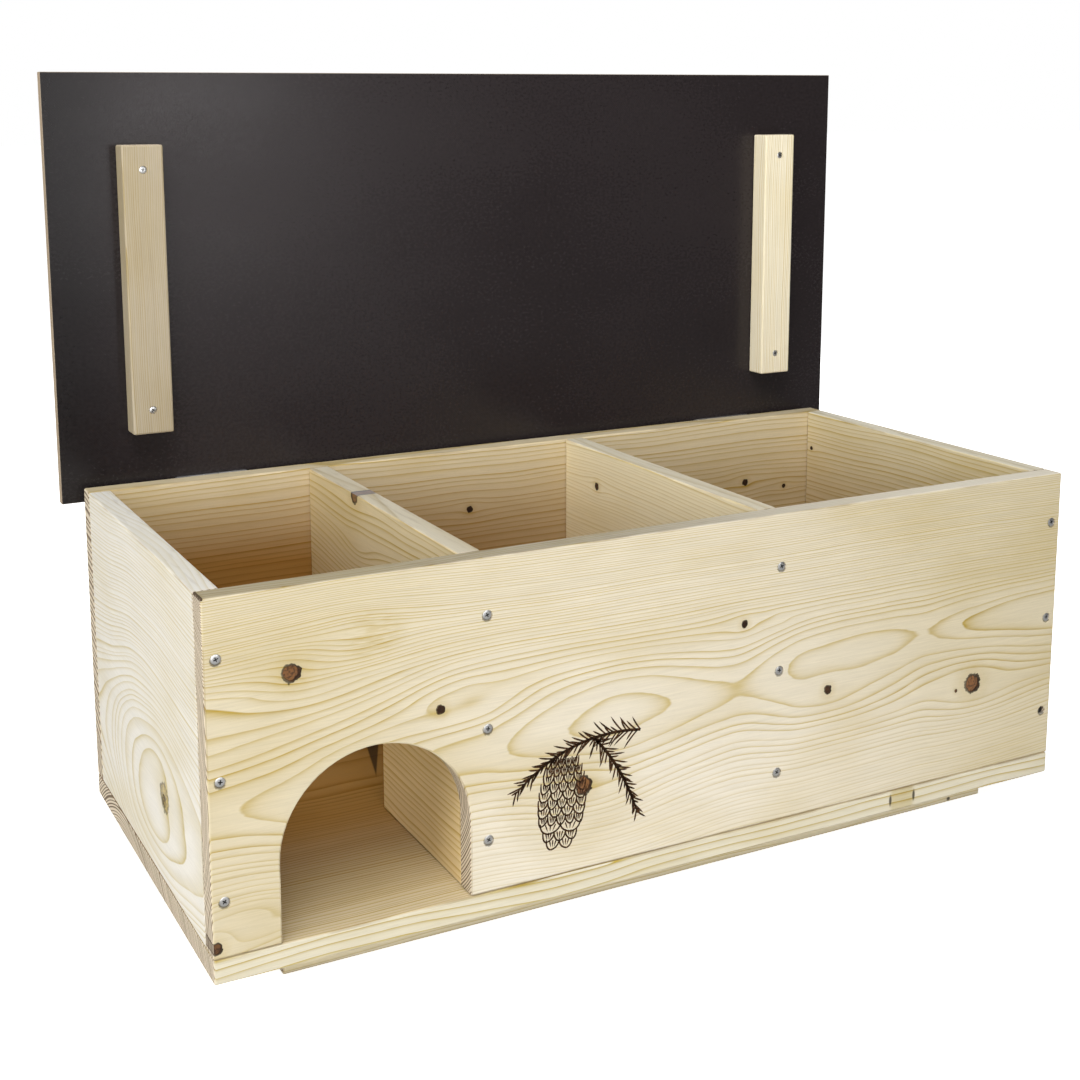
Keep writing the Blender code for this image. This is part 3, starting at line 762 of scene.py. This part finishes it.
def lathe(profile):
    """A closed turned shape round Z from (radius, height) points that start and end on the axis."""
    shape = bmesh.new()
    points = [shape.verts.new((radius, 0.0, height)) for radius, height in profile]
    edges = [shape.edges.new(pair) for pair in zip(points, points[1:])]
    turn = dict(cent=(0, 0, 0), axis=(0, 0, 1), angle=math.tau, steps=32, use_merge=True)
    bmesh.ops.spin(shape, geom=points + edges, **turn)
    close_up(shape)
    return shape


# Shares of a screw head's radius: the shank's radius, the crown's rise, and half the length, half
# the width and the depth of each slot of the cross recess
SHANK, CROWN = 0.5, 0.06
SLOT_REACH, SLOT_HALF_WIDTH, SLOT_DEPTH = 0.60, 0.11, 0.42


def recess_cutter(radius, quarter):
    """A tapered block that cuts one of the two slots of a cross recess."""
    cut = bmesh.new()
    bmesh.ops.create_cube(cut, size=1.0)
    for vert in cut.verts:
        top = vert.co.z > 0
        reach = SLOT_REACH * (1.0 if top else 0.45)
        half = SLOT_HALF_WIDTH * (1.25 if top else 0.8)
        vert.co.x *= 2 * reach * radius
        vert.co.y *= 2 * half * radius
        vert.co.z = radius * 0.3 if top else -SLOT_DEPTH * radius
    turn = Matrix.Rotation(quarter * math.pi / 2, 3, "Z")
    bmesh.ops.rotate(cut, verts=cut.verts, cent=(0, 0, 0), matrix=turn)
    return mesh_object("recess", cut)


def screw_template(radius, length):
    """A countersunk screw with a tapered cross recess, facing +Z with its face at zero."""
    shank, crown = radius * SHANK, radius * CROWN
    head = [(0.0, crown), (radius * 0.55, crown * 0.7), (radius * 0.90, 0.0)]
    rim = [(radius, -radius * 0.05), (radius, -radius * 0.14), (shank, -radius * 0.62)]
    point = [(shank, -length + shank * 2), (shank * 0.12, -length), (0.0, -length)]
    blank = mesh_object("screw_blank", lathe(head + rim + point))
    cutters = [recess_cutter(radius, quarter) for quarter in range(2)]
    for cutter in cutters:
        change = blank.modifiers.new("recess", "BOOLEAN")
        change.solver = "EXACT"
        change.object = cutter
    graph = bpy.context.evaluated_depsgraph_get()
    screw = bpy.data.meshes.new_from_object(blank.evaluated_get(graph))
    # Faces inside the cross recess get the second material, which paints shade into them
    for face in screw.polygons:
        near_axis = Vector(face.center[:2]).length < radius * 0.62
        if near_axis and -radius * 0.5 < face.center.z < -crown * 0.2:
            face.material_index = 1
    for spent in (blank, *cutters):
        bpy.data.objects.remove(spent, do_unlink=True)
    return screw


# Screws: their axis, whether the head is at its high end, the head's radius and the body
SCREW_GROUPS = {
    "front_screw": ("y", False, HEAD_RADIUS, "box"),
    "back_screw": ("y", True, HEAD_RADIUS, "box"),
    "floor_screw": ("z", False, HEAD_RADIUS, "box"),
    "runner_screw": ("z", False, HEAD_RADIUS, "box"),
    "batten_screw": ("y", False, 0.0030, "lid"),
    "hinge_body_screw": ("y", True, 0.0025, "box"),
    "hinge_lid_screw": ("y", False, 0.0025, "lid"),
}

# The screw deep in its hole, whose whole head gets the recesses' painted shade, and the turns of a group's
# first head and between two heads
DEEP_SCREW = "front_screw_10"
FIRST_TURN, NEXT_TURN = 0.9, 2.1


def screw_matrix(node, axis, at_high, turn):
    """Places a template's head where the node's head is, turned by an angle about its own axis."""
    low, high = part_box(node)
    place = (low + high) / 2
    outward = Vector((0, 0, 0))
    index = "xyz".index(axis)
    place[index] = (high if at_high else low)[index]
    outward[index] = 1.0 if at_high else -1.0
    facing = Vector((0, 0, 1)).rotation_difference(outward).to_matrix().to_4x4()
    return Matrix.Translation(place) @ facing @ Matrix.Rotation(turn, 4, "Z")


# The shape that strokes are added to, the place of the face and the lines' relief
Iron = namedtuple("Iron", "shape face_y rise")


def stroke(iron, points, wide, start, end):
    """One burned stroke: a thin closed ribbon along (x, z) points on the front face. It swells and
    thins out again, and starts and ends with these shares of its width."""
    left, right, last = [], [], len(points) - 1
    for index, (x, z) in enumerate(points):
        before, after = points[max(index - 1, 0)], points[min(index + 1, last)]
        way = Vector((after[0] - before[0], after[1] - before[1])).normalized()
        share = start + (end - start) * index / last
        half = wide / 2 * (share + (1 - share) * math.sin(math.pi * index / last) ** 0.6)
        left.append((x - way.y * half, z + way.x * half))
        right.append((x + way.y * half, z - way.x * half))
    rim = [iron.shape.verts.new((x, iron.face_y - iron.rise, z)) for x, z in left + right[::-1]]
    faces = []
    for index in range(last):
        corners = (rim[index], rim[index + 1], rim[-index - 2], rim[-index - 1])
        faces.append(iron.shape.faces.new(corners))
    sunk = bmesh.ops.extrude_face_region(iron.shape, geom=faces)["geom"]
    sunk = [part for part in sunk if isinstance(part, bmesh.types.BMVert)]
    bmesh.ops.translate(iron.shape, verts=sunk, vec=(0.0, iron.rise + 0.0001, 0.0))


def curve_points(start, bend, end, count):
    """Points on a quadratic curve in the plane of the front."""
    points = []
    for index in range(count):
        t = index / (count - 1)
        a, b, c = (1 - t) ** 2, 2 * t * (1 - t), t * t
        points.append([a * one + b * two + c * three for one, two, three in zip(start, bend, end)])
    return points


def fir_cone(iron, foot, tip, width):
    """A hanging fir cone: rows of pointed scales, each one a burned arc with a hatched middle."""
    foot, tip = Vector(foot), Vector(tip)
    along = (tip - foot).normalized()
    across = Vector((-along.y, along.x))
    length = (tip - foot).length
    rows = 11
    drop = length / rows * 1.25
    for row in range(rows):
        t = (row + 0.5) / rows * 0.92
        half = width / 2 * math.sin(math.pi * (t * 0.88 + 0.10)) ** 0.65
        count = (2 if row > rows - 4 else 4) + row % 2
        scale_half = half / count * 1.02
        for index in range(count):
            share = (index + 0.5) / count * 2 - 1
            root = foot + along * (t * length) + across * (share * half)
            point = root + along * drop + across * (share * 0.0025)
            for side in (root - across * scale_half, root + across * scale_half):
                line = curve_points(side, side + along * (drop * 0.85), point, 6)
                stroke(iron, line, 0.0014, 0.6, 0.9)
            for hatch in (-0.5, 0.0, 0.5):
                top = root + across * (scale_half * hatch) + along * (drop * 0.12)
                low = root + across * (scale_half * hatch * 0.5) + along * (drop * 0.72)
                stroke(iron, [top, (top + low) / 2, low], 0.0011, 0.9, 0.3)


def needle_twig(iron, start, bend, end, needles, length, phase):
    """A twig with a double row of needles that lean towards its tip."""
    stroke(iron, curve_points(start, bend, end, 15), 0.0024, 0.9, 0.35)
    fine = [Vector(point) for point in curve_points(start, bend, end, 101)]
    for index in range(needles):
        t = (index + 0.5) / needles
        at = fine[int(t * 100)]
        way = (fine[int(t * 100) + 1] - at).normalized()
        side = 1 if index % 2 else -1
        angle = side * (0.85 - 0.35 * t + 0.18 * math.sin(index * 2.4 + phase))
        out = Matrix.Rotation(angle, 2) @ way
        reach = length * (0.75 + 0.25 * math.sin(index * 1.7 + phase)) * (1.0 - 0.35 * t)
        middle = at + out * (reach * 0.5) + way * (reach * 0.08)
        stroke(iron, curve_points(at, middle, at + out * reach, 5), 0.0014, 0.8, 0.15)


# The motif, in metres from the front's lower left corner: each twig's start, bend and end, the
# number and length of its needles and the phase of their sway
TWIGS = [
    ((0.332, 0.118), (0.270, 0.128), (0.226, 0.088), 64, 0.018, 0.0),
    ((0.292, 0.119), (0.318, 0.090), (0.330, 0.052), 46, 0.016, 1.3),
]
CONE_FOOT, CONE_TIP, CONE_WIDTH = (0.268, 0.112), (0.262, 0.038), 0.040


def on_front(place):
    return FRONT_LOW.x + place[0], FLOOR_LOW.z + place[1]


# Properties


def color_field(name, description, default):
    limits = dict(subtype="COLOR", size=3, min=0.0, max=1.0)
    return FloatVectorProperty(name=name, description=description, default=default, **limits)


def number_field(name, description, default, **limits):
    return FloatProperty(name=name, description=description, default=default, **limits)


def power_field(name, description, default):
    return number_field(name, description, default, min=0.0, unit="POWER")


class SpruceLook(bpy.types.PropertyGroup):
    """Colours and growth rings of the boards."""

    early_color: color_field("Early wood", "Pale wood between the growth lines", (0.775, 0.700, 0.530))
    late_color: color_field("Late wood", "Dark edge of each growth ring", (0.495, 0.350, 0.050))
    # The inner faces' tint is painted shade, darker deep inside the box
    inner_shade_color: color_field(
        "Inner faces", "Tint of the browned wood deep inside the box", (0.385, 0.222, 0.074)
    )
    warm_color: color_field(
        "Inner faces by the door",
        "Tint of the inner wood low down, where light falls in through the doorway",
        (0.95, 0.72, 0.36),
    )
    knot_color: color_field("Knots", "Heart of the knots", (0.230, 0.088, 0.022))
    ring_share: number_field(
        "Ring spacing", "Scales the width of all growth rings", 1.0, min=0.3, max=3.0, subtype="FACTOR"
    )


class LidLook(bpy.types.PropertyGroup):
    """Colours of the plywood lid."""

    film_color: color_field("Film", "Phenolic film on both faces of the lid", (0.0225, 0.0175, 0.0182))
    ply_color: color_field("Plies", "Bare veneers at the lid's edge", (0.62, 0.50, 0.36))


class MetalLook(bpy.types.PropertyGroup):
    """Colour and gloss of the screws and hinges."""

    zinc_color: color_field("Zinc", "Plating of the screws and hinges", (0.70, 0.70, 0.69))
    # The recesses' colour is painted shade
    recess_shade_color: color_field("Recess", "Dull plating inside the cross recesses", (0.10, 0.095, 0.09))
    zinc_roughness: number_field(
        "Zinc roughness", "How dull the plating is", 0.34, min=0.0, max=1.0, subtype="FACTOR"
    )


class MotifLook(bpy.types.PropertyGroup):
    """Size and colours of the burned-in fir sprig."""

    burn_color: color_field("Burn", "Deepest colour of the burned lines", (0.030, 0.014, 0.006))
    scorch_color: color_field("Scorch", "Brown where the burned lines are faint", (0.100, 0.045, 0.018))
    rise: number_field(
        "Line relief", "How far a line's charred edge stands proud", 5e-5, min=2e-5, max=1e-3, unit="LENGTH"
    )


class StageLook(bpy.types.PropertyGroup):
    """Lights and floor of the studio."""

    floor_color: color_field("Floor", "Colour of the floor", (0.90, 0.90, 0.90))
    key_power: power_field("Key light", "Power of the large lamp beside the camera", 20.5)
    side_power: power_field("Side light", "Power of the lamp on the left", 19.0)
    top_power: power_field("Top light", "Power of the lamp overhead", 41.0)
    rear_power: power_field("Rear light", "Power of the lamp behind the house on the right", 20.0)
    glare_power: power_field("Glare light", "Power of the small lamp that the lid's film mirrors", 4.8)
    sky_strength: number_field("Sky", "Strength of the even light from all round", 0.12, min=0.0, max=5.0)


# Operators


def dress(name, material):
    """Gives a part its one material."""
    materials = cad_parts[name].data.materials
    materials.clear()
    materials.append(material)


class HOUSE_OT_dress_boards(bpy.types.Operator):
    """Give every spruce board its own growth rings, knots and planed surface"""

    bl_idname = "house.dress_boards"
    bl_label = "Dress the boards"

    def execute(self, context):
        groups = dict(knot=knot_group(), rings=growth_rings_group(), surface=wood_surface_group())
        for name in BOARDS:
            dress(name, board_material(name, groups, context.scene.spruce_look))
        return {"FINISHED"}


class HOUSE_OT_dress_lid(bpy.types.Operator):
    """Give the lid its dark film and bare plies"""

    bl_idname = "house.dress_lid"
    bl_label = "Dress the lid"

    def execute(self, context):
        dress("lid_board", film_material(context.scene.lid_look))
        return {"FINISHED"}


class HOUSE_OT_dress_hinges(bpy.types.Operator):
    """Plate the hinges and their pins with zinc"""

    bl_idname = "house.dress_hinges"
    bl_label = "Dress the hinges"

    def execute(self, context):
        look = context.scene.metal_look
        plate = zinc_material("hinge_zinc", look.zinc_color, look.zinc_roughness + 0.06)
        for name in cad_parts:
            if "hinge" in name and "screw" not in name:
                dress(name, plate)
        return {"FINISHED"}


class HOUSE_OT_make_screws(bpy.types.Operator):
    """Make countersunk screws with cross recesses, each turned a little differently"""

    bl_idname = "house.make_screws"
    bl_label = "Make the screws"

    def execute(self, context):
        look = context.scene.metal_look
        zinc = zinc_material("screw_zinc", look.zinc_color, look.zinc_roughness)
        # The recess material paints shade into the cross recesses
        grime_and_shade = zinc_material("recess_zinc", look.recess_shade_color, look.zinc_roughness + 0.25)
        templates = {}
        for prefix, (axis, at_high, radius, body) in SCREW_GROUPS.items():
            for number, name in enumerate(group_of(prefix)):
                low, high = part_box(name)
                length = (high - low)["xyz".index(axis)]
                key = (round(radius, 5), round(length, 4))
                if key not in templates:
                    templates[key] = screw_template(radius, length)
                shape = bmesh.new()
                shape.from_mesh(templates[key])
                place = screw_matrix(name, axis, at_high, FIRST_TURN + number * NEXT_TURN)
                bmesh.ops.transform(shape, matrix=place, verts=shape.verts)
                # The screw deep in its hole gets painted shade all over its head
                head = grime_and_shade if name == DEEP_SCREW else zinc
                piece = finish_piece(f"{name}_detail", shape, body, (head, grime_and_shade), smooth_angle=32)
                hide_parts(name)
        for mesh in templates.values():
            bpy.data.meshes.remove(mesh)
        return {"FINISHED"}


class HOUSE_OT_burn_motif(bpy.types.Operator):
    """Burn a fir cone and twigs into the front panel"""

    bl_idname = "house.burn_motif"
    bl_label = "Burn the motif"

    def execute(self, context):
        look = context.scene.motif_look
        char = burn_material(look)
        iron = Iron(bmesh.new(), FRONT_LOW.y, look.rise)
        for start, bend, end, *needles in TWIGS:
            needle_twig(iron, on_front(start), on_front(bend), on_front(end), *needles)
        fir_cone(iron, on_front(CONE_FOOT), on_front(CONE_TIP), CONE_WIDTH)
        piece = finish_piece("burned_fir_sprig", iron.shape, "box", (char,))
        return {"FINISHED"}


# The lamps' places and widths in metres
LAMPS = {
    "rear": ((1.2, 2.3, 0.75), 1.2),
    "glare": ((0.38, -2.2, 0.56), 0.5),
    "key": ((-0.92, -2.30, 0.62), 1.15),
    "side": ((-2.4, -0.45, 0.65), 1.2),
    "top": ((-0.7, -0.8, 2.1), 1.4),
}
LAMP_TARGET = Vector((0.0, 0.0, 0.25))


class HOUSE_OT_set_stage(bpy.types.Operator):
    """Lay the floor, hang the lamps and set up the camera"""

    bl_idname = "house.set_stage"
    bl_label = "Set the stage"

    def execute(self, context):
        scene = context.scene
        look = scene.stage_look
        lay_floor(look)
        light_sky(scene, look.sky_strength)
        for name, (place, size) in LAMPS.items():
            hang_lamp(f"{name}_lamp", place, size, getattr(look, f"{name}_power"))
        place_camera(scene)
        scene.view_settings.view_transform = "Standard"
        return {"FINISHED"}


def swap_when_seen(tree, output, plain, shown):
    """Shows another shader wherever the camera sees the surface, also through glass."""
    rays = signals(add_node(tree, "ShaderNodeLightPath"))
    seen = calc("MAXIMUM", rays["Is Camera Ray"], rays["Is Transmission Ray"])
    chosen = made(tree, "ShaderNodeMixShader", {0: seen, 1: plain, 2: shown})
    feed(tree.nodes[output], {"Surface": chosen})


# The floor's colour in reflections, and its glow from under the house outwards
MIRRORED_FLOOR = (0.42, 0.42, 0.42, 1.0)
GLOW_FROM, GLOW_TO = 0.5, 1.3


def lay_floor(look):
    shape = bmesh.new()
    bmesh.ops.create_grid(shape, x_segments=8, y_segments=8, size=30.0)
    material, shader = new_material("studio_floor")
    tree = material.node_tree
    floor = mesh_object("studio_floor", shape, (material,))
    mirrored = made(tree, "ShaderNodeLightPath", {}, "Is Glossy Ray")
    color = mix_color(mirrored, solid_color(look.floor_color), MIRRORED_FLOOR)
    feed(shader, {"Base Color": color, "Roughness": 0.9, "Specular IOR Level": 0.1})
    where = made(tree, "ShaderNodeTexCoord", {}, "Object")
    strength = between(measure("LENGTH", where), GLOW_FROM, GLOW_TO, 0.80, 1.0)
    glow = made(tree, "ShaderNodeEmission", {"Color": WHITE, "Strength": strength})
    plain = Signal(shader.outputs[0])
    both = made(tree, "ShaderNodeAddShader", {0: plain, 1: glow})
    swap_when_seen(tree, "Material Output", plain, both)


def light_sky(scene, strength):
    """Even white light, and plain white wherever the camera sees the sky."""
    world = bpy.data.worlds.new("studio_sky")
    world.use_nodes = True
    tree = world.node_tree
    sky = tree.nodes["Background"]
    feed(sky, {"Color": WHITE, "Strength": strength})
    shown = made(tree, "ShaderNodeBackground", {"Color": WHITE, "Strength": 1.0})
    swap_when_seen(tree, "World Output", Signal(sky.outputs[0]), shown)
    scene.world = world


def hang_lamp(name, place, size, power):
    """A square soft lamp that faces the house."""
    lamp = bpy.data.lights.new(name, "AREA")
    lamp.shape = "SQUARE"
    lamp.size = size
    lamp.energy = power
    facing = (LAMP_TARGET - Vector(place)).to_track_quat("-Z", "Y").to_matrix().to_4x4()
    add_object(name, lamp).matrix_world = Matrix.Translation(place) @ facing


# The camera was found from the box's edges: its place in metres, its angles in degrees
CAMERA_PLACE = (-0.638, -1.1165, 0.592)
CAMERA_AZIMUTH, CAMERA_ELEVATION, CAMERA_ROLL = 26.29, 9.495, 0.4283
CAMERA_LENS = 52.05
CAMERA_SHIFT = (0.0548, -0.1547)


def place_camera(scene):
    camera = bpy.data.cameras.new("studio_camera")
    camera.lens = CAMERA_LENS
    camera.sensor_width = 36.0
    camera.shift_x, camera.shift_y = CAMERA_SHIFT
    camera.clip_start = 0.05
    around = Matrix.Rotation(math.radians(-CAMERA_AZIMUTH), 4, "Z")
    tilt = Matrix.Rotation(math.radians(90 - CAMERA_ELEVATION), 4, "X")
    roll = Matrix.Rotation(math.radians(-CAMERA_ROLL), 4, "Z")
    scene.camera = add_object("studio_camera", camera)
    scene.camera.matrix_world = Matrix.Translation(CAMERA_PLACE) @ around @ tilt @ roll


class HOUSE_PT_sidebar(bpy.types.Panel):
    """Lists the house's looks and the steps that dress it"""

    bl_idname = "HOUSE_PT_sidebar"
    bl_label = "Hedgehog house"
    bl_space_type = "VIEW_3D"
    bl_region_type = "UI"
    bl_category = "House"

    def draw(self, context):
        layout = self.layout
        for holder in LOOKS:
            box = layout.box()
            look = getattr(context.scene, holder)
            for field in look.bl_rna.properties:
                if field.identifier not in {"rna_type", "name"}:
                    box.prop(look, field.identifier)
        for step in STEPS:
            layout.operator(f"house.{step}")


STEPS = ("dress_boards", "dress_lid", "dress_hinges", "make_screws", "burn_motif", "set_stage")

LOOKS = {
    "spruce_look": SpruceLook,
    "lid_look": LidLook,
    "metal_look": MetalLook,
    "motif_look": MotifLook,
    "stage_look": StageLook,
}

CLASSES = (
    *LOOKS.values(),
    HOUSE_OT_dress_boards,
    HOUSE_OT_dress_lid,
    HOUSE_OT_dress_hinges,
    HOUSE_OT_make_screws,
    HOUSE_OT_burn_motif,
    HOUSE_OT_set_stage,
    HOUSE_PT_sidebar,
)


def register():
    for item in CLASSES:
        bpy.utils.register_class(item)
    for holder, look in LOOKS.items():
        setattr(bpy.types.Scene, holder, PointerProperty(type=look))


def unregister():
    for holder in LOOKS:
        delattr(bpy.types.Scene, holder)
    for item in reversed(CLASSES):
        bpy.utils.unregister_class(item)


def main():
    register()
    for step in STEPS:
        getattr(bpy.ops.house, step)()


if __name__ == "__main__":
    main()
